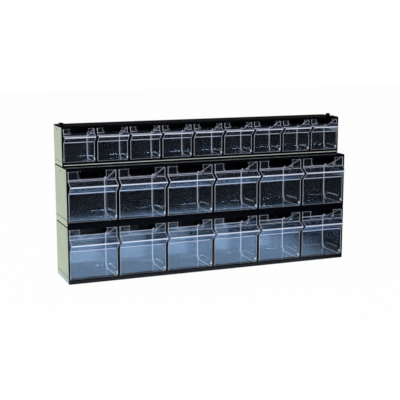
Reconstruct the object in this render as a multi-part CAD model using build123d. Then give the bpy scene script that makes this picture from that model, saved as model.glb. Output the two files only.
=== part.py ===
from build123d import *
import os
from math import acos, cos, degrees, radians, sin, sqrt
from types import SimpleNamespace

# A stack of three parts cabinets with clear tip-out bins.
# Row frame: X to the right, Y to the back, Z up. The origin is the middle of the base.
# Sizes are in millimetres and angles in degrees.
# Heights called "above the base" are measured from the underside of their own cabinet,
# and places called "from the front" from the front plane of their own cabinet.

# ---- Driving dimensions: the cabinet frames ----
cabinet_width = 600.0
end_wall = 2.8               # left and right walls
divider_wall = 4.1           # walls between bins
back_wall = 3.0
floor_wall = 3.0
top_wall = 3.0
lip_wall = 3.0               # front lips over and under the bins
toe_lip = 6.5                # top of the lower front lip, above the base
outer_top_radius = 2.4       # long side edges of a cabinet's top
outer_floor_radius = 1.8     # long side edges of a cabinet's floor
lip_radius = 0.9             # front edges of the lips
groove_height = 1.0          # line pressed into the outside of each end wall
groove_depth = 0.6
rail_height = 1.6            # guide rail beside each bin
rail_proud = 0.6
rest_rib_width = 3.0         # rib that the back of each closed bin rests on
rest_rib_length = 30.0
toe_bead_radius = 1.3        # bead along the foot of the upper cabinet
toe_bead_level = 2.2         # its middle above the base
screw_radius = 2.5           # wall screws, two in each back
link_hole_radius = 2.0       # holes that join cabinets side by side
peg_radius = 4.5             # stacking pegs on each top
peg_height = 4.5
peg_edge_radius = 0.8
peg_from_side = 7.5
peg_from_back = 30.0
nub_radius = 2.4             # low nubs on the upper cabinet's top
nub_height = 1.6
nub_inset = 9.0

# ---- Driving dimensions: what all bins share ----
trunnion_radius = 2.5
trunnion_engagement = 1.5    # how far a trunnion reaches into its wall
bead_width = 1.6             # raised rim round the finger notch
bead_proud = 0.8
gusset_flare = 3.0           # how far the rim spreads below the notch
bin_edge_radius = 0.7
open_angle = 45.0            # tip-out range
stop_spare_angle = 0.5       # left before the stop lugs touch the lip

# ---- Clearances ----
side_clearance = 1.0         # bin to wall, each side
trunnion_clearance = 0.08    # radial
top_clearance = 0.8          # closed bin to the upper lip
swing_clearance = 0.6        # swinging bin to the cabinet's top
rest_clearance = 0.3         # bin to the rib under it
peg_clearance = 0.1          # radial, peg to socket

# ---- Driving dimensions: the cabinet of small bins ----
small_bins = 9
small_height = 77.0
small_depth = 62.0
small_upper_lip = 4.6        # how far the upper lip hangs down from the top
small_pivot_height = 12.5    # bin pivot above the base
small_corner_radius = 5.0    # rolled lower front edge, round the pivot
small_bin_wall = 1.5
small_bin_depth = 52.0
small_back_radius = 9.0      # rolled lower back edge
small_ridge_foot = 45.0      # pull ridge: foot, tip and fold above the base
small_ridge_tip = 56.6
small_ridge_fold = 62.5
small_ridge_reach = 13.2     # to its sharp corner, before it is rounded
small_ridge_radius = 1.9
small_bend_radius = 1.2
small_notch_floor = 64.0     # finger notch above the base
small_notch_width = 36.0
small_notch_radius = 3.0
small_lug_depth = 5.0        # radial depth of the stop lugs
small_inner_radius = 1.8
small_groove_level = 9.4
small_rail_level = 15.0
small_rail_start = 12.0      # guide rail from the front
small_rail_end = 42.0
small_link_drop = 7.6        # side hole below the top, and from the front
small_link_from_front = 36.5
small_screw_drop = 8.0       # wall screws below the top
small_screw_spacing = 532.0

# ---- Driving dimensions: the cabinets of large bins ----
large_bins = 6
large_height = 112.0
large_depth = 91.0
large_upper_lip = 5.5
large_pivot_height = 14.0
large_corner_radius = 6.5
large_bin_wall = 1.8
large_bin_depth = 77.0
large_back_radius = 12.0
large_ridge_foot = 63.0
large_ridge_tip = 78.0
large_ridge_fold = 87.0
large_ridge_reach = 17.0
large_ridge_radius = 2.2
large_bend_radius = 1.6
large_notch_floor = 91.5
large_notch_width = 52.6
large_notch_radius = 4.0
large_lug_depth = 6.0
large_inner_radius = 2.4
large_groove_level = 13.0
large_rail_level = 20.5
large_rail_start = 17.0
large_rail_end = 63.0
large_link_drop = 10.5
large_link_from_front = 50.0
large_screw_drop = 17.0
large_screw_spacing = 498.0


def collect(prefix):
    """Gathers the sizes whose names start with prefix into one object."""
    sizes = {name[len(prefix):]: value for name, value in globals().items() if name.startswith(prefix)}
    return SimpleNamespace(**sizes)


def place(sizes, name, base):
    """Adds to a family's sizes where one cabinet stands and what follows from its sizes."""
    c = SimpleNamespace(**vars(sizes), name=name, base=base)
    c.front = large_depth / 2 - c.depth
    c.bay = (cabinet_width - 2 * end_wall - (c.bins - 1) * divider_wall) / c.bins
    c.bin_width = c.bay - 2 * side_clearance
    c.lip_level = c.height - c.upper_lip
    c.bin_top = c.lip_level - top_clearance
    c.bin_floor = c.pivot_height - c.corner_radius
    c.swing_radius = c.height - top_wall - swing_clearance - c.pivot_height
    return c


small = collect("small_")
large = collect("large_")
bottom = place(large, "bottom", 0.0)
middle = place(large, "middle", bottom.height)
top = place(small, "top", bottom.height + middle.height)
cabinets = [bottom, middle, top]
peg_x = cabinet_width / 2 - peg_from_side
peg_y = large_depth / 2 - peg_from_back


def bay_centre(c, i):
    return -cabinet_width / 2 + end_wall + c.bay / 2 + i * (c.bay + divider_wall)


def block(x, y, z):
    """A box from its (low, high) pairs along X, Y and Z."""
    size = [high - low for low, high in (x, y, z)]
    return Pos(*[(low + high) / 2 for low, high in (x, y, z)]) * Box(*size)


def side_extrude(face, width):
    """Extrudes a side view, drawn as (from the front, above the base), evenly about X = 0."""
    return extrude(Plane.YZ * face, amount=width / 2, both=True)


def rod_x(radius, x, y, z):
    """A round bar along X between two x values."""
    length = x[1] - x[0]
    return Pos((x[0] + x[1]) / 2, y, z) * Rot(0, 90, 0) * Cylinder(radius, length)


def rod_y(radius, y, x, z):
    """A round bar along Y between two y values."""
    length = y[1] - y[0]
    return Pos(x, (y[0] + y[1]) / 2, z) * Rot(90, 0, 0) * Cylinder(radius, length)


def rod_z(radius, z, x, y):
    """A round bar along Z between two z values."""
    length = z[1] - z[0]
    return Pos(x, y, (z[0] + z[1]) / 2) * Cylinder(radius, length)


# ---- Cabinet frame ----

def back_panel(c):
    panel = block(
        (-cabinet_width / 2, cabinet_width / 2),
        (c.depth - back_wall, c.depth),
        (floor_wall, c.height - top_wall),
    )
    for side in (-1, 1):
        x = side * c.screw_spacing / 2
        panel -= rod_y(screw_radius, (c.depth - 2 * back_wall, c.depth + back_wall), x, c.height - c.screw_drop)
    return panel


def long_edges(solid, y, z):
    """The edges of a panel that run along X at one y and z."""
    along = solid.edges().filter_by(Axis.X)
    return [e for e in along if abs(e.center().Y - y) < 1e-3 and abs(e.center().Z - z) < 1e-3]


def end_edges(solid, z):
    """The edges of a panel that run along Y at its left and right ends, at one z."""
    along = solid.edges().filter_by(Axis.Y)
    return [e for e in along if abs(abs(e.center().X) - cabinet_width / 2) < 1e-3 and abs(e.center().Z - z) < 1e-3]


def top_panel(c):
    under = c.height - top_wall
    face = make_face(Polyline(
        (0, c.lip_level), (lip_wall, c.lip_level), (lip_wall, under), (c.depth, under),
        (c.depth, c.height), (0, c.height), close=True,
    ))
    panel = side_extrude(face, cabinet_width)
    panel = fillet(end_edges(panel, c.height), outer_top_radius)
    front = long_edges(panel, 0, c.height) + long_edges(panel, 0, c.lip_level)
    panel = fillet(front, lip_radius)
    for side in (-1, 1):
        peg = rod_z(peg_radius, (c.height - top_wall / 2, c.height + peg_height), side * peg_x, peg_y - c.front)
        peg = fillet(peg.edges().sort_by(Axis.Z)[-1], peg_edge_radius)
        panel += peg
    if c is top:
        nub_span = (c.height - top_wall / 2, c.height + nub_height)
        nub_x = cabinet_width / 2 - nub_inset
        panel += rod_z(nub_radius, nub_span, -nub_x, c.depth - nub_inset)
        panel += rod_z(nub_radius, nub_span, nub_x, nub_inset)
    return panel


def floor_panel(c):
    face = make_face(Polyline(
        (0, 0), (c.depth, 0), (c.depth, floor_wall), (lip_wall, floor_wall),
        (lip_wall, toe_lip), (0, toe_lip), close=True,
    ))
    panel = side_extrude(face, cabinet_width)
    panel = fillet(end_edges(panel, 0), outer_floor_radius)
    panel = fillet(long_edges(panel, 0, 0) + long_edges(panel, 0, toe_lip), lip_radius)
    rest_top = c.bin_floor - rest_clearance
    rest_end = c.bin_depth - c.back_radius
    for i in range(c.bins):
        x = bay_centre(c, i)
        panel += block(
            (x - rest_rib_length / 2, x + rest_rib_length / 2),
            (rest_end - rest_rib_width, rest_end),
            (floor_wall / 2, rest_top),
        )
    for side in (-1, 1):
        socket = peg_radius + peg_clearance
        panel -= rod_z(socket, (-floor_wall, 2 * floor_wall), side * peg_x, peg_y - c.front)
    if c is top:
        bead = rod_x(toe_bead_radius, (-cabinet_width / 2 + end_wall, cabinet_width / 2 - end_wall),
                     0, toe_bead_level)
        panel += bead
    return panel


def wall_face(c):
    """Side view of an end wall or a divider: it fills the space between floor, top, back and lips."""
    under = c.height - top_wall
    back = c.depth - back_wall
    return make_face(Polyline(
        (0, toe_lip), (lip_wall, toe_lip), (lip_wall, floor_wall), (back, floor_wall),
        (back, under), (lip_wall, under), (lip_wall, c.lip_level), (0, c.lip_level), close=True,
    ))


def rail(c, x):
    """The guide rail beside a bin, between two x values."""
    return block(x, (c.rail_start, c.rail_end), (c.rail_level - rail_height / 2, c.rail_level + rail_height / 2))


def socket_hole(c, x):
    return rod_x(trunnion_radius + trunnion_clearance, x, c.corner_radius, c.pivot_height)


def end_panel(c, side):
    """The left (side -1) or right (side 1) wall of a cabinet."""
    outer = side * cabinet_width / 2
    inner = outer - side * end_wall
    span = sorted((inner, outer))
    wall = Pos(sum(span) / 2, 0, 0) * side_extrude(wall_face(c), end_wall)
    wall += rail(c, sorted((inner - side * rail_proud, (inner + outer) / 2)))
    groove_floor = outer - side * groove_depth
    wall -= block(
        sorted((groove_floor, outer + side * end_wall)), (-c.depth, 2 * c.depth),
        (c.groove_level - groove_height / 2, c.groove_level + groove_height / 2),
    )
    wall -= socket_hole(c, sorted((inner - side * end_wall, inner + side * (end_wall + trunnion_engagement) / 2)))
    wall -= rod_x(link_hole_radius, sorted((inner - side * end_wall, outer + side * end_wall)),
                  c.link_from_front, c.height - c.link_drop)
    return wall


def dividers(c):
    """The walls between neighbouring bins."""
    walls = []
    for i in range(c.bins - 1):
        x = (bay_centre(c, i) + bay_centre(c, i + 1)) / 2
        wall = side_extrude(wall_face(c), divider_wall)
        wall += rail(c, (-divider_wall / 2 - rail_proud, divider_wall / 2 + rail_proud))
        wall -= socket_hole(c, (-divider_wall, divider_wall))
        walls.append(Pos(x, 0, 0) * wall)
    return walls


# ---- Bins ----

def front_line(c, upper_end):
    """Side view of a bin's front: up from the rolled edge, out over the pull ridge and up to the top."""
    return FilletPolyline(
        (0, c.pivot_height), (0, c.ridge_foot), (-c.ridge_reach, c.ridge_tip), (0, c.ridge_fold), (0, upper_end),
        radius=(c.bend_radius, c.ridge_radius, c.bend_radius),
    )


def lower_line(c, back_top):
    """Side view of a bin's back and floor, from the top of the back to the rolled front edge."""
    y = c.bin_depth
    r = c.back_radius
    z = c.bin_floor
    corner = c.corner_radius
    slant = sqrt(0.5)
    return [
        Line((y, back_top), (y, z + r)),
        ThreePointArc((y, z + r), (y - r + r * slant, z + r - r * slant), (y - r, z)),
        Line((y - r, z), (corner, z)),
        ThreePointArc((corner, z), (corner - corner * slant, c.pivot_height - corner * slant), (0, c.pivot_height)),
    ]


def swing_point(c, radius, angle):
    """A point of a bin's side view at a radius and an angle about the pivot."""
    return (c.corner_radius + radius * cos(radians(angle)), c.pivot_height + radius * sin(radians(angle)))


def lug_angle(c):
    """Angle of the stop lugs' front face when the bin is closed."""
    touching = degrees(acos((lip_wall - c.corner_radius) / c.swing_radius))
    return touching - open_angle - stop_spare_angle


def rim_angle(c):
    """Angle about the pivot of the top of a closed bin's back."""
    return degrees(acos((c.bin_depth - c.corner_radius) / c.swing_radius))


def bin_side_face(c):
    """Side view of a whole bin, with the stop lugs at its upper back corner."""
    rim = swing_point(c, c.swing_radius, rim_angle(c))
    angle = lug_angle(c)
    shoulder = swing_point(c, c.swing_radius - c.lug_depth, angle)
    crest = swing_point(c, c.swing_radius, angle)
    crown = swing_point(c, c.swing_radius, (angle + rim_angle(c)) / 2)
    outline = Curve() + [
        front_line(c, c.bin_top),
        Polyline((0, c.bin_top), (c.bin_wall, c.bin_top), shoulder, crest),
        ThreePointArc(crest, crown, rim),
        *lower_line(c, rim[1]),
    ]
    return make_face(outline.edges())


def bin_hollow(c):
    """The inside of a bin, carried up past its top."""
    above = 2 * c.height
    outline = Curve() + [
        front_line(c, above),
        Line((0, above), (c.bin_depth, above)),
        *lower_line(c, above),
    ]
    inner = offset(make_face(outline.edges()), amount=-c.bin_wall, kind=Kind.INTERSECTION)
    half = c.bin_width / 2 - c.bin_wall
    hollow = side_extrude(inner, 2 * half)
    floor_top = c.bin_floor + c.bin_wall
    across = front_extrude(trough(half, floor_top, above, c.inner_radius), (-c.depth, 2 * c.depth))
    back = c.bin_depth - c.bin_wall
    corners = Rot(180, 0, 0) * trough(half, -back, c.depth, c.inner_radius)
    upright = extrude(corners, amount=-above)
    return hollow & across & upright


def trough(half, low, high, radius):
    """A rectangle about the second axis whose two lower corners are rounded."""
    outline = FilletPolyline((-half, high), (-half, low), (half, low), (half, high), radius=radius)
    return make_face(outline + Line((half, high), (-half, high)))


def side_edges(solid, back_top):
    """The edges of a bin's side faces along its front, floor and back, which are rounded."""
    half = solid.bounding_box().max.X
    on_sides = [e for e in solid.edges() if abs(abs(e.center().X) - half) < 1e-3 and e.length > 0]
    flat = [e for e in on_sides if abs(e.start_point().X - e.end_point().X) < 1e-3]
    return [e for e in flat if e.center().Y <= 0 or e.center().Z < back_top]


def notch_face(c, grow):
    """Front view of the finger notch, grown by a margin, as (sideways, above the base)."""
    return trough(c.notch_width / 2 + grow, c.notch_floor - grow, 2 * c.height, c.notch_radius + grow)


def front_extrude(face, y):
    """Extrudes a front view between two distances from the front."""
    return Pos(0, y[1], 0) * extrude(Plane.XZ * face, amount=y[1] - y[0])


def notch_rim(c):
    """The raised rim round the finger notch, spreading to the fold under it."""
    slab_y = (-bead_proud, c.bin_wall / 2)
    rim = front_extrude(notch_face(c, bead_width), slab_y)
    half = c.notch_width / 2
    for side in (-1, 1):
        gusset = make_face(Polyline(
            (side * half, c.notch_floor), (side * (half + bead_width), c.notch_floor),
            (side * (half + gusset_flare), c.ridge_fold), (side * half, c.ridge_fold), close=True,
        ))
        rim += front_extrude(gusset, slab_y)
    rim -= front_extrude(notch_face(c, 0), (-c.depth, c.depth))
    return rim & block((-c.bin_width, c.bin_width), (-c.depth, c.depth), (0, c.bin_top))


def make_bin(c):
    """One bin, centred on X = 0."""
    shell = side_extrude(bin_side_face(c), c.bin_width)
    back_top = swing_point(c, c.swing_radius, rim_angle(c))[1]
    shell = fillet(side_edges(shell, back_top), bin_edge_radius)
    shell -= bin_hollow(c)
    shell -= front_extrude(notch_face(c, 0), (-c.bin_wall, 2 * c.bin_wall))
    shell += notch_rim(c)
    for side in (-1, 1):
        root = side * (c.bin_width / 2 - c.bin_wall / 2)
        tip = side * (c.bin_width / 2 + side_clearance + trunnion_engagement)
        shell += rod_x(trunnion_radius, sorted((root, tip)), c.corner_radius, c.pivot_height)
    return shell


# ---- Writing the pieces ----

def write(name, c, solids, x=0.0):
    """Moves solids from their cabinet's own place into the row frame and saves them as one node."""
    moved = [Pos(x, c.front, c.base) * solid for solid in solids]
    shape = moved[0] if len(moved) == 1 else Compound(children=moved)
    export_step(shape, f"parts/{name}.step")


os.makedirs("parts", exist_ok=True)
bins_made = {}
for c in cabinets:
    write(f"{c.name}_cabinet_back", c, [back_panel(c)])
    write(f"{c.name}_cabinet_top", c, [top_panel(c)])
    write(f"{c.name}_cabinet_floor", c, [floor_panel(c)])
    write(f"{c.name}_cabinet_left_wall", c, [end_panel(c, -1)])
    write(f"{c.name}_cabinet_right_wall", c, [end_panel(c, 1)])
    write(f"{c.name}_cabinet_dividers", c, dividers(c))
    if c.bins not in bins_made:
        bins_made[c.bins] = make_bin(c)
    for i in range(c.bins):
        write(f"{c.name}_bin_{i + 1}", c, [bins_made[c.bins]], bay_centre(c, i))
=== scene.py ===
import math

import bmesh
import bpy
from mathutils import Matrix, Vector


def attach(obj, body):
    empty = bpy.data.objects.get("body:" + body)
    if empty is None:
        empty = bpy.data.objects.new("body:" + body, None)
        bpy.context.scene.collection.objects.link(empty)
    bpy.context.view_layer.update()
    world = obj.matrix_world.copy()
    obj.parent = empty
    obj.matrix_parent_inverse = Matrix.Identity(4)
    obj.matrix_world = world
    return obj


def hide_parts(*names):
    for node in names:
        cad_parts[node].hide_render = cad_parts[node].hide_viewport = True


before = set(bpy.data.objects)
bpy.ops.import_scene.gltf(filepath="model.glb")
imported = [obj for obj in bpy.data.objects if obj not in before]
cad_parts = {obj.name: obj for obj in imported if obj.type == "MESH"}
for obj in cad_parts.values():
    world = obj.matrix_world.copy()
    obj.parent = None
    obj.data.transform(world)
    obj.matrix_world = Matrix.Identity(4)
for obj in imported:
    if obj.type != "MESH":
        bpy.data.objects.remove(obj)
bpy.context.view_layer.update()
print("frame loaded:", len(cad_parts), "nodes")

mm = 0.001
past = 1 * mm    # how far a shape that cuts or joins reaches past the wall

meshTools = {
    "weldReach": 0.002 * mm,
    "splitReach": 1e-7,
    "bevelSegments": 2,
    "bevelAngle": 38.0,
}


def newObject(name, data):
    piece = bpy.data.objects.new(name, data)
    bpy.context.scene.collection.objects.link(piece)
    return piece


def polarPoint(centre, radius, degrees):
    angle = math.radians(degrees)
    return (centre[0] + radius * math.cos(angle), centre[1] + radius * math.sin(angle))


def arcPoints(centre, radius, startAngle, endAngle, steps):
    turn = endAngle - startAngle
    return [polarPoint(centre, radius, startAngle + turn * i / steps) for i in range(steps + 1)]


def circle(centre, radius, steps=32):
    return arcPoints(centre, radius, 0, 360, steps)[:-1]


def rectangle(low, high):
    return [low, (high[0], low[1]), high, (low[0], high[1])]


def roundCorners(points, radii, steps=8):
    # an open line whose inner corners are rounded; radii has one value for each inner corner
    line = [points[0]]
    for before, corner, after, radius in zip(points, points[1:], points[2:], radii):
        tip = Vector(corner)
        toBefore = (Vector(before) - tip).normalized()
        toAfter = (Vector(after) - tip).normalized()
        half = toBefore.angle(toAfter) / 2
        reach = radius / math.tan(half)
        centre = tip + (toBefore + toAfter).normalized() * radius / math.sin(half)
        first = tip + toBefore * reach - centre
        turn = first.angle_signed(tip + toAfter * reach - centre)
        for i in range(steps + 1):
            line.append(tuple(centre + Matrix.Rotation(-turn * i / steps, 2) @ first))
    return line + [points[-1]]


def trough(half, low, high, radius):
    # a rectangle about zero whose two low corners are round
    corners = [(-half, high), (-half, low), (half, low), (half, high)]
    return roundCorners(corners, [radius, radius], steps=6)


def prism(name, outline, low, high, along):
    # a closed outline pushed from low to high along "X", "Y" or "Z"
    place = {
        "X": lambda u, v, w: (w, u, v),
        "Y": lambda u, v, w: (u, w, v),
        "Z": lambda u, v, w: (u, v, w),
    }[along]
    bm = bmesh.new()
    ring = [bm.verts.new(place(u, v, low)) for u, v in outline]
    face = bm.faces.new(ring)
    pushed = bmesh.ops.extrude_face_region(bm, geom=[face])["geom"]
    farEnd = [part for part in pushed if isinstance(part, bmesh.types.BMVert)]
    bmesh.ops.translate(bm, vec=Vector(place(0, 0, high)) - Vector(place(0, 0, low)), verts=farEnd)
    bmesh.ops.recalc_face_normals(bm, faces=bm.faces)
    mesh = bpy.data.meshes.new(name)
    bm.to_mesh(mesh)
    bm.free()
    return newObject(name, mesh)


def weld(piece):
    bm = bmesh.new()
    bm.from_mesh(piece.data)
    bmesh.ops.remove_doubles(bm, verts=bm.verts, dist=meshTools["weldReach"])
    bmesh.ops.dissolve_degenerate(bm, edges=bm.edges, dist=meshTools["weldReach"])
    bm.to_mesh(piece.data)
    bm.free()


def settle(piece):
    # turns what the modifiers show into a plain mesh and takes the modifiers off
    graph = bpy.context.evaluated_depsgraph_get()
    mesh = bpy.data.meshes.new_from_object(piece.evaluated_get(graph))
    piece.modifiers.clear()
    old = piece.data
    piece.data = mesh
    bpy.data.meshes.remove(old)
    return piece


def combine(piece, others, operation):
    # operation is DIFFERENCE, UNION or INTERSECT
    for other in others:
        tool = piece.modifiers.new(other.name, "BOOLEAN")
        tool.object = other
        tool.operation = operation
        tool.solver = "EXACT"
    settle(piece)
    for other in others:
        bpy.data.objects.remove(other)


def softenEdges(piece, width):
    bevel = piece.modifiers.new("edges", "BEVEL")
    bevel.width = width
    bevel.segments = meshTools["bevelSegments"]
    bevel.limit_method = "ANGLE"
    bevel.angle_limit = math.radians(meshTools["bevelAngle"])
    bevel.use_clamp_overlap = True
    piece.data.shade_smooth()
    bevel.harden_normals = True
    settle(piece)


def paint(piece, *materials):
    piece.data.materials.clear()
    for material in materials:
        piece.data.materials.append(material)


class Socket:
    # a node's output, which takes part in sums as a number does
    def __init__(self, tree, link):
        self.tree, self.link = tree, link

    def math(self, operation, first, second):
        node = self.tree.nodes.new("ShaderNodeMath")
        node.operation = operation
        for socket, value in zip(node.inputs, (first, second)):
            if isinstance(value, Socket):
                self.tree.links.new(value.link, socket)
            else:
                socket.default_value = value
        return Socket(self.tree, node.outputs[0])

    def __add__(self, other):
        return self.math("ADD", self, other)

    def __rsub__(self, other):
        return self.math("SUBTRACT", other, self)

    def __mul__(self, other):
        return self.math("MULTIPLY", self, other)

    def __truediv__(self, other):
        return self.math("DIVIDE", self, other)

    def __pow__(self, other):
        return self.math("POWER", self, other)


class Shader:
    # a material's or a world's node tree, emptied and ready for new nodes
    def __init__(self, owner):
        owner.use_nodes = True
        self.tree = owner.node_tree
        self.tree.nodes.clear()

    def node(self, kind, inputs=None, settings=None, output=0):
        node = self.tree.nodes.new(kind)
        for key, value in (settings or {}).items():
            setattr(node, key, value)
        for key, value in (inputs or {}).items():
            if isinstance(value, Socket):
                self.tree.links.new(value.link, node.inputs[key])
            else:
                node.inputs[key].default_value = value
        return Socket(self.tree, node.outputs[output])

    def place(self):
        return self.node("ShaderNodeTexCoord", output="Object")

    def noise(self, place, scale, detail):
        return self.node("ShaderNodeTexNoise", {"Vector": place, "Scale": scale, "Detail": detail})

    def step(self, value, low, high):
        # 0 under low, 1 over high, smooth between
        inputs = {"Value": value, "From Min": low, "From Max": high}
        return self.node("ShaderNodeMapRange", inputs, {"interpolation_type": "SMOOTHSTEP"})

    def mix(self, factor, first, second):
        inputs = {0: factor, 6: first, 7: second}
        return self.node("ShaderNodeMix", inputs, {"data_type": "RGBA"}, output=2)

    def ray(self, kind):
        return self.node("ShaderNodeLightPath", output=f"Is {kind} Ray")

    def finish(self, surface, kind="ShaderNodeOutputMaterial"):
        out = self.tree.nodes.new(kind)
        self.tree.links.new(surface.link, out.inputs["Surface"])

    def finishPlastic(self, inputs):
        self.finish(self.node("ShaderNodeBsdfPrincipled", inputs))


frameFinish = {
    "colour": (0.0020, 0.0024, 0.0040, 1),
    "scuffColour": (0.006, 0.007, 0.010, 1),
    "scuffFrom": (0.52, 0.78),    # where the clouds turn into scuffs
    "scuffShare": 0.5,
    "cloudScale": 14.0,
    "cloudDetail": 4.0,
    "roughness": 0.09,
    "roughnessSpread": 0.07,
    "ior": 1.50,
    "specularLevel": 0.11,
    "grainScale": 900.0,
    "grainDetail": 2.0,
    "grainStrength": 0.05,
    "grainDepth": 0.2 * mm,
}

# a bin's walls are drawn as clear skins: what they reflect and how milky they are
binFinish = {
    "colour": (0.64, 0.80, 1.0, 1),
    "cloudColour": (0.58, 0.73, 0.96, 1),
    "cloudScale": 22.0,
    "cloudDetail": 3.0,
    "reflection": 0.058,
    "facingPower": 5,
    "haze": 0.003,
    "hazeSpread": 0.010,
    "roughness": 0.07,
    "roughnessSpread": 0.03,
}

# where a wall is seen end on it gets a lighter, more opaque copy of the clear plastic with a painted glow:
# painted light standing in for the light its end gathers
glowingEdgeFinish = {
    "colour": (0.80, 0.84, 1.0, 1),
    "alpha": 0.60,
    "paintedGlow": 0.56,
    "roughness": 0.2,
    "ior": 1.58,
}

# a pale colour painted on the upper half of the toe bead and on the guide rails: painted highlights
paintedHighlightFinish = {
    "colour": (0.72, 0.78, 0.72, 1),
    "roughness": 0.3,
}


def makeFrameMaterial():
    look = frameFinish
    material = bpy.data.materials.new("blackFrame")
    shader = Shader(material)
    place = shader.place()
    cloud = shader.noise(place, look["cloudScale"], look["cloudDetail"])
    grain = shader.noise(place, look["grainScale"], look["grainDetail"])
    scuffs = shader.step(cloud, *look["scuffFrom"]) * look["scuffShare"]
    bump = {"Strength": look["grainStrength"], "Distance": look["grainDepth"], "Height": grain}
    shader.finishPlastic({
        "Base Color": shader.mix(scuffs, look["colour"], look["scuffColour"]),
        "Roughness": cloud * look["roughnessSpread"] + look["roughness"],
        "IOR": look["ior"],
        "Specular IOR Level": look["specularLevel"],
        "Normal": shader.node("ShaderNodeBump", bump),
    })
    return material


def makeBinMaterial():
    look = binFinish
    material = bpy.data.materials.new("clearBin")
    shader = Shader(material)
    cloud = shader.noise(shader.place(), look["cloudScale"], look["cloudDetail"])
    facing = shader.node("ShaderNodeLayerWeight", {"Blend": 0.5}, output="Facing")
    mirror = facing ** look["facingPower"] * (1 - look["reflection"]) + look["reflection"]
    haze = cloud * look["hazeSpread"] + look["haze"]
    shader.finishPlastic({
        "Base Color": shader.mix(cloud, look["colour"], look["cloudColour"]),
        "Roughness": cloud * look["roughnessSpread"] + look["roughness"],
        "Metallic": mirror / (mirror + haze),
        "Alpha": mirror + haze,
    })
    return material


def makeGlowingEdgeMaterial():
    look = glowingEdgeFinish
    material = bpy.data.materials.new("clearBinPaintedGlow")
    # the emission is a painted glow, not a lamp: painted light on the wall ends
    Shader(material).finishPlastic({
        "Base Color": look["colour"],
        "Roughness": look["roughness"],
        "IOR": look["ior"],
        "Alpha": look["alpha"],
        "Emission Color": look["colour"],
        "Emission Strength": look["paintedGlow"],
    })
    return material


def makePaintedHighlightMaterial():
    material = bpy.data.materials.new("paintedHighlightLine")
    Shader(material).finishPlastic({
        "Base Color": paintedHighlightFinish["colour"],
        "Roughness": paintedHighlightFinish["roughness"],
    })
    return material


frameMaterial = makeFrameMaterial()
binMaterial = makeBinMaterial()
glowingEdgeMaterial = makeGlowingEdgeMaterial()
paintedHighlightMaterial = makePaintedHighlightMaterial()
print("materials made")


# what the three cabinets share
common = {
    "width": 600 * mm,
    "endWall": 2.8 * mm,
    "divider": 4.1 * mm,
    "backWall": 3.0 * mm,
    "floorWall": 3.0 * mm,
    "topWall": 3.0 * mm,
    "lipWall": 3.0 * mm,
    "toeLip": 6.5 * mm,
    "sideClearance": 1.0 * mm,
    "stackDepth": 91.0 * mm,
}

# levels are over a cabinet's own base, and depths behind its own front
largeCabinet = {
    "bins": 6,
    "height": 112 * mm,
    "depth": 91 * mm,
    "upperLip": 5.5 * mm,
    "pivotHeight": 14 * mm,
    "cornerRadius": 6.5 * mm,
    "binWall": 1.8 * mm,
    "binDepth": 77 * mm,
    "backRadius": 12 * mm,
    "ridgeFoot": 63 * mm,
    "ridgeTip": 78 * mm,
    "ridgeFold": 87 * mm,
    "ridgeReach": 17 * mm,
    "ridgeRadius": 2.2 * mm,
    "bendRadius": 1.6 * mm,
    "notchFloor": 91.5 * mm,
    "notchWidth": 52.6 * mm,
    "notchRadius": 4 * mm,
    "lugDepth": 6 * mm,
    "innerRadius": 2.4 * mm,
    "grooveLevel": 13 * mm,
    "railLevel": 20.5 * mm,
    "railSpan": (17 * mm, 63 * mm),
    "linkDrop": 10.5 * mm,
    "linkFromFront": 50 * mm,
    "screwDrop": 17 * mm,
    "screwSpacing": 498 * mm,
}

smallCabinet = {
    "bins": 9,
    "height": 77 * mm,
    "depth": 62 * mm,
    "upperLip": 4.6 * mm,
    "pivotHeight": 12.5 * mm,
    "cornerRadius": 5 * mm,
    "binWall": 1.5 * mm,
    "binDepth": 52 * mm,
    "backRadius": 9 * mm,
    "ridgeFoot": 45 * mm,
    "ridgeTip": 56.6 * mm,
    "ridgeFold": 62.5 * mm,
    "ridgeReach": 13.2 * mm,
    "ridgeRadius": 1.9 * mm,
    "bendRadius": 1.2 * mm,
    "notchFloor": 64 * mm,
    "notchWidth": 36 * mm,
    "notchRadius": 3 * mm,
    "lugDepth": 5 * mm,
    "innerRadius": 1.8 * mm,
    "grooveLevel": 9.4 * mm,
    "railLevel": 15 * mm,
    "railSpan": (12 * mm, 42 * mm),
    "linkDrop": 7.6 * mm,
    "linkFromFront": 36.5 * mm,
    "screwDrop": 8 * mm,
    "screwSpacing": 532 * mm,
}


def bayWidth(cab):
    free = common["width"] - 2 * common["endWall"] - (cab["bins"] - 1) * common["divider"]
    return free / cab["bins"]


def bayPitch(cab):
    return bayWidth(cab) + common["divider"]


def bayCentre(cab, i):
    return -common["width"] / 2 + common["endWall"] + bayWidth(cab) / 2 + i * bayPitch(cab)


def frontPlane(cab):
    return common["stackDepth"] / 2 - cab["depth"]


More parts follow.
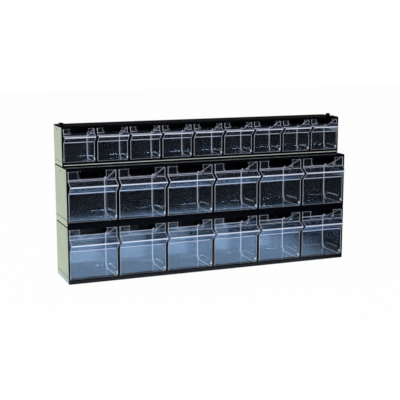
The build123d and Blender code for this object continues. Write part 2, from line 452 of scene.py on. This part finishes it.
def makeRowTree():
    # Geometry Nodes: a row of copies along X, all in one material
    tree = bpy.data.node_groups.new("row of copies", "GeometryNodeTree")
    given = (("Geometry", "Geometry"), ("Count", "Int"), ("First", "Float"), ("Pitch", "Float"),
             ("Material", "Material"))
    for name, kind in given:
        tree.interface.new_socket(name, in_out="INPUT", socket_type="NodeSocket" + kind)
    tree.interface.new_socket("Geometry", in_out="OUTPUT", socket_type="NodeSocketGeometry")
    source = tree.nodes.new("NodeGroupInput")
    start = tree.nodes.new("ShaderNodeCombineXYZ")
    step = tree.nodes.new("ShaderNodeCombineXYZ")
    line = tree.nodes.new("GeometryNodeMeshLine")
    copies = tree.nodes.new("GeometryNodeInstanceOnPoints")
    real = tree.nodes.new("GeometryNodeRealizeInstances")
    painted = tree.nodes.new("GeometryNodeSetMaterial")
    result = tree.nodes.new("NodeGroupOutput")
    for output, target in (
        (source.outputs["First"], start.inputs["X"]),
        (source.outputs["Pitch"], step.inputs["X"]),
        (source.outputs["Count"], line.inputs["Count"]),
        (start.outputs[0], line.inputs["Start Location"]),
        (step.outputs[0], line.inputs["Offset"]),
        (line.outputs[0], copies.inputs["Points"]),
        (source.outputs["Geometry"], copies.inputs["Instance"]),
        (copies.outputs[0], real.inputs[0]),
        (real.outputs[0], painted.inputs["Geometry"]),
        (source.outputs["Material"], painted.inputs["Material"]),
        (painted.outputs[0], result.inputs[0]),
    ):
        tree.links.new(output, target)
    return tree


rowTree = makeRowTree()


def repeatAlongX(piece, count, first, pitch):
    row = piece.modifiers.new("row", "NODES")
    row.node_group = rowTree
    values = {"Count": count, "First": first, "Pitch": pitch, "Material": frameMaterial}
    for item in rowTree.interface.items_tree:
        if item.in_out == "INPUT" and item.name in values:
            row[item.identifier] = values[item.name]
    return settle(piece)


def oneEachBay(piece, cab):
    return repeatAlongX(piece, cab["bins"], bayCentre(cab, 0), bayPitch(cab))


def pairOf(piece, spacing):
    return repeatAlongX(piece, 2, -spacing / 2, spacing)


frameDetail = {
    "topRadius": 2.4 * mm,
    "floorRadius": 1.8 * mm,
    "edgeRadius": 0.3 * mm,
    "bayReach": 10 * mm,          # how far a bay's cutting shape reaches out of the front
    "grooveHeight": 1.0 * mm,
    "grooveDepth": 0.6 * mm,
    "railHeight": 1.6 * mm,
    "railProud": 0.6 * mm,
    "ribLength": 30 * mm,
    "ribWidth": 3 * mm,
    "restClearance": 0.3 * mm,
    "holeRadius": 2.5 * mm,
    "linkRadius": 2.0 * mm,
    "socketRadius": 2.58 * mm,
    "socketDepth": 1.5 * mm,
    "pegRadius": 4.5 * mm,
    "pegHeight": 4.5 * mm,
    "pegClearance": 0.1 * mm,
    "pegFromSide": 7.5 * mm,
    "pegFromBack": 30 * mm,
    "nubRadius": 2.4 * mm,
    "nubHeight": 1.6 * mm,
    "nubInset": 9 * mm,
    "toeBead": 1.3 * mm,
    "toeBeadLevel": 2.2 * mm,
    "beadProud": 0.02 * mm,       # what stands out more than this belongs to the bead
    "endWallShare": 0.9,          # what lies further out than this belongs to the end wall
    "railFaceArea": 3e-4,         # a rail's faces are smaller, the bay's walls are larger
}


def frameShell(cab):
    # the outside of a cabinet: a block with rounded long edges, before its bays are cut
    half, height = common["width"] / 2, cab["height"]
    top, foot = frameDetail["topRadius"], frameDetail["floorRadius"]
    corners = [(0, 0), (half, 0), (half, height), (-half, height), (-half, 0), (-half / 2, 0)]
    outline = roundCorners(corners, [foot, top, top, foot], steps=6)
    return prism("shell", outline, 0, cab["depth"], "Y")


def toeBead():
    # the rounded line along the top cabinet's lower front edge
    half = common["width"] / 2 - common["endWall"]
    section = circle((0, frameDetail["toeBeadLevel"]), frameDetail["toeBead"], steps=20)
    return prism("toeBead", section, -half, half, "X")


def bayVoid(cab):
    # the space of one bay: behind the lips, and out between them
    floor, under = common["floorWall"], cab["height"] - common["topWall"]
    lip, back = common["lipWall"], cab["depth"] - common["backWall"]
    toe, upper = common["toeLip"], cab["height"] - cab["upperLip"]
    ahead = -frameDetail["bayReach"]
    outline = [(ahead, toe), (lip, toe), (lip, floor), (back, floor),
               (back, under), (lip, under), (lip, upper), (ahead, upper)]
    return prism("bay", outline, -bayWidth(cab) / 2, bayWidth(cab) / 2, "X")


def pegPlace(cab):
    return (0, cab["depth"] - frameDetail["pegFromBack"])


def pegSpacing():
    return common["width"] - 2 * frameDetail["pegFromSide"]


def frameCuts(cab):
    # the bins' pivot sockets, the peg sockets, the screw and link holes and the end grooves
    detail, walls = frameDetail, common
    pivotHalf = bayWidth(cab) / 2 + detail["socketDepth"]
    pivotHole = circle((cab["cornerRadius"], cab["pivotHeight"]), detail["socketRadius"])
    pegHole = circle(pegPlace(cab), detail["pegRadius"] + detail["pegClearance"])
    screwHole = circle((0, cab["height"] - cab["screwDrop"]), detail["holeRadius"])
    linkHole = circle((cab["linkFromFront"], cab["height"] - cab["linkDrop"]), detail["linkRadius"])
    linkHalf = 2 * walls["endWall"]
    grooveLow = (-past, cab["grooveLevel"] - detail["grooveHeight"] / 2)
    grooveHigh = (cab["depth"] + past, cab["grooveLevel"] + detail["grooveHeight"] / 2)
    groove = rectangle(grooveLow, grooveHigh)
    screwFrom = cab["depth"] - 2 * walls["backWall"]
    return [
        oneEachBay(prism("pivotSocket", pivotHole, -pivotHalf, pivotHalf, "X"), cab),
        pairOf(prism("pegSocket", pegHole, -past, walls["floorWall"] + past, "Z"), pegSpacing()),
        pairOf(prism("screwHole", screwHole, screwFrom, cab["depth"] + past, "Y"), cab["screwSpacing"]),
        pairOf(prism("linkHole", linkHole, -linkHalf, linkHalf, "X"), walls["width"]),
        pairOf(prism("groove", groove, -detail["grooveDepth"], detail["grooveDepth"], "X"), walls["width"]),
    ]


def frameAdds(cab, withNubs):
    # the guide rails, the ribs that the bins rest on, the pegs and the nubs
    detail, top = frameDetail, cab["height"]
    wallAt = bayWidth(cab) / 2
    railLow = cab["railLevel"] - detail["railHeight"] / 2
    railHigh = cab["railLevel"] + detail["railHeight"] / 2
    rail = rectangle((cab["railSpan"][0], railLow), (cab["railSpan"][1], railHigh))
    ribEnd = cab["binDepth"] - cab["backRadius"]
    ribTop = cab["pivotHeight"] - cab["cornerRadius"] - detail["restClearance"]
    rib = rectangle((ribEnd - detail["ribWidth"], common["floorWall"] - past), (ribEnd, ribTop))
    ribHalf = detail["ribLength"] / 2
    peg = circle(pegPlace(cab), detail["pegRadius"])
    adds = [
        oneEachBay(prism("leftRail", rail, -wallAt - past, -wallAt + detail["railProud"], "X"), cab),
        oneEachBay(prism("rightRail", rail, wallAt - detail["railProud"], wallAt + past, "X"), cab),
        oneEachBay(prism("restRib", rib, -ribHalf, ribHalf, "X"), cab),
        pairOf(prism("peg", peg, top - past, top + detail["pegHeight"], "Z"), pegSpacing()),
    ]
    if withNubs:
        nubX = common["width"] / 2 - detail["nubInset"]
        backNub = circle((-nubX, cab["depth"] - detail["nubInset"]), detail["nubRadius"])
        frontNub = circle((nubX, detail["nubInset"]), detail["nubRadius"])
        adds.append(prism("backNub", backNub, top - past, top + detail["nubHeight"], "Z"))
        adds.append(prism("frontNub", frontNub, top - past, top + detail["nubHeight"], "Z"))
    return adds


def markPaintedHighlights(mesh, cab):
    # gives the pale material, a painted highlight, to the upper half of the toe bead and to the guide rails
    detail = frameDetail
    railFront, railBack = cab["railSpan"]
    insideEnds = common["width"] / 2 - detail["endWallShare"] * common["endWall"]
    for face in mesh.polygons:
        x, y, z = face.center
        onBead = y < -detail["beadProud"] and 0 < z - detail["toeBeadLevel"] < detail["toeBead"]
        onRail = (abs(z - cab["railLevel"]) < detail["railHeight"] and abs(x) < insideEnds
                  and railFront - past < y < railBack + past and face.area < detail["railFaceArea"])
        face.material_index = 1 if onBead or onRail else 0


def makeFrame(label, cab, base):
    onTop = label == "top"
    body = frameShell(cab)
    if onTop:
        combine(body, [toeBead()], "UNION")
    combine(body, [oneEachBay(bayVoid(cab), cab)], "DIFFERENCE")
    combine(body, frameCuts(cab), "DIFFERENCE")
    combine(body, frameAdds(cab, onTop), "UNION")
    weld(body)
    # the second material is the painted highlight on the bead and rails
    paint(body, frameMaterial, paintedHighlightMaterial)
    softenEdges(body, frameDetail["edgeRadius"])
    markPaintedHighlights(body.data, cab)
    body.data.transform(Matrix.Translation((0, frontPlane(cab), base)))
    body.name = label + "Frame"
    parts = ("back", "top", "floor", "left_wall", "right_wall", "dividers")
    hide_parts(*[f"{label}_cabinet_{part}" for part in parts])
    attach(body, "frame")


binDetail = {
    "openAngle": 45.0,
    "spareAngle": 0.5,
    "topClearance": 0.8 * mm,
    "swingClearance": 0.6 * mm,
    "edgeRadius": 0.45 * mm,
    "beadWidth": 1.6 * mm,
    "beadProud": 0.8 * mm,
    "flareFoot": 0.8,          # where a flare starts, as a share of the notch's half width
    "flareReach": 3.0 * mm,
    "trunnionRadius": 2.5 * mm,
    "trunnionReach": 1.5 * mm,
}

# which of a bin's faces are wall ends that get the painted glow
glowingEdgeFaces = {
    "frontShare": 0.35,        # of the side wall, seen from the front
    "footShare": 0.6,          # of the floor's thickness, seen from the front
    "tipDepth": 0.45 * mm,
    "beadProud": 0.05 * mm,
    "sideways": 0.5,           # a face whose normal has less X than this runs along the bin's width
    "upwards": 0.3,
    "forwards": 0.3,
    "flatFront": 0.95,
}


def binFloor(cab):
    return cab["pivotHeight"] - cab["cornerRadius"]


def binTop(cab):
    return cab["height"] - cab["upperLip"] - binDetail["topClearance"]


def overBin(cab):
    return 2 * cab["height"]


def frontLine(cab, upperEnd):
    points = [(0, cab["pivotHeight"]), (0, cab["ridgeFoot"]), (-cab["ridgeReach"], cab["ridgeTip"]),
              (0, cab["ridgeFold"]), (0, upperEnd)]
    return roundCorners(points, [cab["bendRadius"], cab["ridgeRadius"], cab["bendRadius"]])


def hollowFront(cab):
    # the front line moved inwards by the wall
    wall = cab["binWall"]
    rise, run = cab["ridgeTip"] - cab["ridgeFoot"], cab["ridgeReach"]
    lower = math.atan2(rise, run)
    upper = math.atan2(cab["ridgeFold"] - cab["ridgeTip"], run)
    foot = (wall, cab["ridgeFoot"] + wall * (1 - math.sin(lower)) / math.cos(lower))
    fold = (wall, cab["ridgeFold"] - wall * (1 - math.sin(upper)) / math.cos(upper))
    # the tip is where the two moved slopes meet
    tipY = (fold[1] - foot[1]) / (-math.tan(lower) - math.tan(upper)) + wall
    tip = (tipY, foot[1] + (wall - tipY) * math.tan(lower))
    bend, point = cab["bendRadius"] + wall, cab["ridgeRadius"] - wall
    points = [(wall, cab["pivotHeight"]), foot, tip, fold, (wall, overBin(cab))]
    return roundCorners(points, [bend, point, bend])


def lowerLine(cab, wall):
    # the back's foot, the floor and the rolled front edge, moved inwards by a wall
    backCentre = (cab["binDepth"] - cab["backRadius"], binFloor(cab) + cab["backRadius"])
    frontCentre = (cab["cornerRadius"], cab["pivotHeight"])
    return (arcPoints(backCentre, cab["backRadius"] - wall, 0, -90, 12)
            + arcPoints(frontCentre, cab["cornerRadius"] - wall, -90, -180, 10))


def binSide(cab):
    # a bin from the side; its crest follows the swing, so that it passes under the frame's top
    detail = binDetail
    swing = cab["height"] - common["topWall"] - detail["swingClearance"] - cab["pivotHeight"]
    pivot = (cab["cornerRadius"], cab["pivotHeight"])
    touching = math.degrees(math.acos((common["lipWall"] - pivot[0]) / swing))
    lugAngle = touching - detail["openAngle"] - detail["spareAngle"]
    rimAngle = math.degrees(math.acos((cab["binDepth"] - pivot[0]) / swing))
    shoulder = polarPoint(pivot, swing - cab["lugDepth"], lugAngle)
    crest = arcPoints(pivot, swing, lugAngle, rimAngle, 6)
    top = binTop(cab)
    return (frontLine(cab, top) + [(cab["binWall"], top), shoulder] + crest
            + lowerLine(cab, 0)[:-1])


def binHollow(cab, half):
    # the inside of a bin, rounded along its floor and up its back corners
    wall, above = cab["binWall"], overBin(cab)
    inside = hollowFront(cab) + [(cab["binDepth"] - wall, above)] + lowerLine(cab, wall)[:-1]
    hollow = prism("binHollow", inside, -half + wall, half - wall, "X")
    floorCorners = trough(half - wall, binFloor(cab) + wall, above, cab["innerRadius"])
    across = prism("binAcross", floorCorners, -cab["depth"], 2 * cab["depth"], "Y")
    backCorners = trough(half - wall, wall - cab["binDepth"], cab["depth"], cab["innerRadius"])
    upright = prism("binUpright", [(x, -y) for x, y in backCorners], 0, above, "Z")
    combine(hollow, [across, upright], "INTERSECT")
    return hollow


def notchRim(cab, half):
    # the raised bead round the finger notch, with a flare at each side of it
    detail, notchHalf, above = binDetail, cab["notchWidth"] / 2, overBin(cab)
    low, high = -detail["beadProud"], cab["binWall"] / 2
    outline = trough(notchHalf + detail["beadWidth"], cab["notchFloor"] - detail["beadWidth"], above,
                     cab["notchRadius"] + detail["beadWidth"])
    rim = prism("rim", outline, low, high, "Y")
    for side in (-1, 1):
        flare = [(side * notchHalf * detail["flareFoot"], cab["notchFloor"]),
                 (side * (notchHalf + detail["beadWidth"]), cab["notchFloor"]),
                 (side * (notchHalf + detail["flareReach"]), cab["ridgeFold"]),
                 (side * notchHalf, cab["ridgeFold"])]
        combine(rim, [prism("flare", flare, low, high, "Y")], "UNION")
    cap = rectangle((-half, binTop(cab)), (half, 2 * above))
    combine(rim, [prism("rimCap", cap, -cab["depth"], cab["depth"], "Y")], "DIFFERENCE")
    return rim


def trunnions(cab, half):
    # the two pivots, seated halfway into the side walls
    detail = binDetail
    section = circle((cab["cornerRadius"], cab["pivotHeight"]), detail["trunnionRadius"], steps=28)
    reach = half + common["sideClearance"] + detail["trunnionReach"]
    pins = prism("trunnion", section, -reach, reach, "X")
    between = half - cab["binWall"] / 2
    core = rectangle((-cab["depth"], 0), (2 * cab["depth"], overBin(cab)))
    combine(pins, [prism("core", core, -between, between, "X")], "DIFFERENCE")
    return pins


def splitWalls(mesh, cab, half):
    # cuts the faces where a wall ends on them, so that its end can take the painted glow
    wall = cab["binWall"]
    cuts = [((side * (half - share * wall), 0, 0), (1, 0, 0))
            for side in (-1, 1) for share in (glowingEdgeFaces["frontShare"], 1)]
    cuts.append(((0, 0, binFloor(cab) + glowingEdgeFaces["footShare"] * wall), (0, 0, 1)))
    bm = bmesh.new()
    bm.from_mesh(mesh)
    for place, normal in cuts:
        bmesh.ops.bisect_plane(bm, geom=bm.verts[:] + bm.edges[:] + bm.faces[:],
                               dist=meshTools["splitReach"], plane_co=place, plane_no=normal)
    bm.to_mesh(mesh)
    bm.free()


def markGlowingEdges(mesh, cab, half):
    # gives the edge material, with its painted glow, to the faces where a wall is seen end on
    limits, wall = glowingEdgeFaces, cab["binWall"]
    tip = min(vert.co.y for vert in mesh.vertices) + limits["tipDepth"]
    footTop = binFloor(cab) + limits["footShare"] * wall
    for face in mesh.polygons:
        (x, y, z), normal = face.center, face.normal
        along = abs(normal.x) < limits["sideways"]
        frontEnd = along and abs(x) > half - limits["frontShare"] * wall
        innerEnd = along and abs(x) > half - wall and y > cab["cornerRadius"] and z < cab["ridgeFold"]
        frontFoot = z < footTop and y < cab["cornerRadius"] and normal.y < -limits["forwards"]
        ridgeTip = along and y < tip
        rim = normal.z > limits["upwards"] and z > cab["ridgeFoot"] and y > 0
        bead = y < -limits["beadProud"] and z > cab["ridgeFold"] and normal.y > -limits["flatFront"]
        if frontEnd or innerEnd or frontFoot or ridgeTip or rim or bead:
            face.material_index = 1


def makeBinMesh(cab):
    wall = cab["binWall"]
    half = (bayWidth(cab) - 2 * common["sideClearance"]) / 2
    notch = trough(cab["notchWidth"] / 2, cab["notchFloor"], overBin(cab), cab["notchRadius"])
    shell = prism("binShell", binSide(cab), -half, half, "X")
    combine(shell, [binHollow(cab, half)], "DIFFERENCE")
    combine(shell, [notchRim(cab, half)], "UNION")
    combine(shell, [prism("notchCut", notch, -wall, 2 * wall, "Y")], "DIFFERENCE")
    combine(shell, [trunnions(cab, half)], "UNION")
    splitWalls(shell.data, cab, half)
    # the second material is the painted glow on the wall ends
    paint(shell, binMaterial, glowingEdgeMaterial)
    softenEdges(shell, binDetail["edgeRadius"])
    mesh = shell.data
    markGlowingEdges(mesh, cab, half)
    bpy.data.objects.remove(shell)
    return mesh


def makeBins(label, cab, base, pattern):
    for i in range(cab["bins"]):
        mesh = pattern.copy()
        mesh.transform(Matrix.Translation((bayCentre(cab, i), frontPlane(cab), base)))
        piece = newObject(f"{label}Bin{i + 1}", mesh)
        node = f"{label}_bin_{i + 1}"
        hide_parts(node)
        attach(piece, node)


cabinets = [
    ("bottom", largeCabinet, 0.0),
    ("middle", largeCabinet, largeCabinet["height"]),
    ("top", smallCabinet, 2 * largeCabinet["height"]),
]
for label, cab, base in cabinets:
    makeFrame(label, cab, base)
print("frames made")
largeBin = makeBinMesh(largeCabinet)
smallBin = makeBinMesh(smallCabinet)
for label, cab, base in cabinets:
    makeBins(label, cab, base, largeBin if cab is largeCabinet else smallBin)
print("bins made:", len(largeBin.polygons), "and", len(smallBin.polygons), "faces each")


stageLook = {
    "floorSize": 12.0,
    "floorSpan": (-0.01, -0.0002),
    "floorColour": (0.80, 0.80, 0.80, 1),
    "shadowShare": 0.025,              # how much of the floor's own shading the camera sees
    "glossFront": (-0.54, -0.42),      # where the bright floor starts in front, seen in gloss
    "glossRight": (0.20, 0.34),        # and where it ends at the right
    "glossBehind": (-0.1, 0.1),        # where the front's tint turns into the back's
    "frontTint": (1.60, 2.05, 2.50, 1),
    "backTint": (2.35, 2.70, 2.15, 1),
    "white": (1, 1, 1, 1),
    "worldGloss": 0.02,
    "worldSoft": 0.30,
}


def makeFloor():
    look, half = stageLook, stageLook["floorSize"] / 2
    floor = prism("floor", rectangle((-half, -half), (half, half)), *look["floorSpan"], "Z")
    material = bpy.data.materials.new("paleFloor")
    shader = Shader(material)
    place = shader.place()
    x = shader.node("ShaderNodeSeparateXYZ", {0: place}, output="X")
    y = shader.node("ShaderNodeSeparateXYZ", {0: place}, output="Y")
    behind = shader.step(y, *look["glossBehind"])
    darkRight = shader.step(x, *look["glossRight"]) * (1 - behind)
    bright = shader.step(y, *look["glossFront"]) * (1 - darkRight)
    tint = shader.mix(behind, look["frontTint"], look["backTint"])
    plain = shader.node("ShaderNodeBsdfDiffuse", {"Color": look["floorColour"]})
    white = shader.node("ShaderNodeEmission", {"Color": look["white"]})
    seen = shader.node("ShaderNodeEmission", {"Color": tint, "Strength": bright})
    shown = shader.node("ShaderNodeMixShader", {0: 1 - look["shadowShare"], 1: plain, 2: white})
    inGloss = shader.node("ShaderNodeMixShader", {0: shader.ray("Glossy"), 1: plain, 2: seen})
    shader.finish(shader.node("ShaderNodeMixShader", {0: shader.ray("Camera"), 1: inGloss, 2: shown}))
    floor.data.materials.append(material)


def makeWorld():
    look = stageLook
    world = bpy.data.worlds.new("studio")
    bpy.context.scene.world = world
    shader = Shader(world)
    camera, glossy = shader.ray("Camera"), shader.ray("Glossy")
    unseen = glossy * look["worldGloss"] + (1 - glossy) * look["worldSoft"]
    sky = {"Color": look["white"], "Strength": camera + (1 - camera) * unseen}
    shader.finish(shader.node("ShaderNodeBackground", sky), "ShaderNodeOutputWorld")


# a lamp either lights the surfaces or shows in their gloss
lamps = {
    "key": {
        "place": (-0.70, -1.35, 1.30),
        "aim": (0, 0, 0.15),
        "size": (0.9, 0.9),
        "power": 17.0,
        "colour": (0.95, 0.97, 1.0),
        "inGloss": False,
    },
    "tall": {
        "place": (-0.66, -1.18, 1.40),
        "aim": (-0.66, 0.02, 0.1),
        "size": (0.36, 1.3),
        "power": 30.0,
        "colour": (1.0, 0.99, 0.97),
        "inGloss": True,
    },
    "overhead": {
        "place": (-0.1, 0.75, 1.9),
        "aim": (0, 0, 0.15),
        "size": (2.2, 0.9),
        "power": 15.0,
        "colour": (0.72, 0.84, 1.0),
        "inGloss": False,
    },
}


def makeLamps():
    for name, look in lamps.items():
        data = bpy.data.lights.new(name, "AREA")
        data.shape = "RECTANGLE"
        data.size, data.size_y = look["size"]
        data.energy = look["power"]
        data.color = look["colour"]
        lamp = newObject(name, data)
        lamp.visible_diffuse = not look["inGloss"]
        lamp.visible_glossy = look["inGloss"]
        lamp.location = look["place"]
        towards = Vector(look["aim"]) - lamp.location
        lamp.rotation_euler = towards.to_track_quat("-Z", "Y").to_euler()


cameraView = {
    "place": (-0.7060, -1.7235, 0.4704),
    "yaw": 21.966,
    "pitch": 10.127,
    "roll": -0.03,
    "focalPixels": 921.1,
    "imagePixels": 400,
    "sensor": 36.0,
    "clip": (0.05, 50),
}


def makeCamera():
    view = cameraView
    data = bpy.data.cameras.new("camera")
    data.sensor_fit = "HORIZONTAL"
    data.sensor_width = view["sensor"]
    data.lens = view["focalPixels"] * view["sensor"] / view["imagePixels"]
    data.clip_start, data.clip_end = view["clip"]
    camera = newObject("camera", data)
    turn = (Matrix.Rotation(math.radians(-view["yaw"]), 4, "Z")
            @ Matrix.Rotation(math.radians(90 - view["pitch"]), 4, "X")
            @ Matrix.Rotation(math.radians(view["roll"]), 4, "Z"))
    camera.matrix_world = Matrix.Translation(view["place"]) @ turn
    bpy.context.scene.camera = camera


makeFloor()
makeWorld()
makeLamps()
makeCamera()
bpy.context.scene.view_settings.view_transform = "Standard"
print("floor, lamps and camera made")
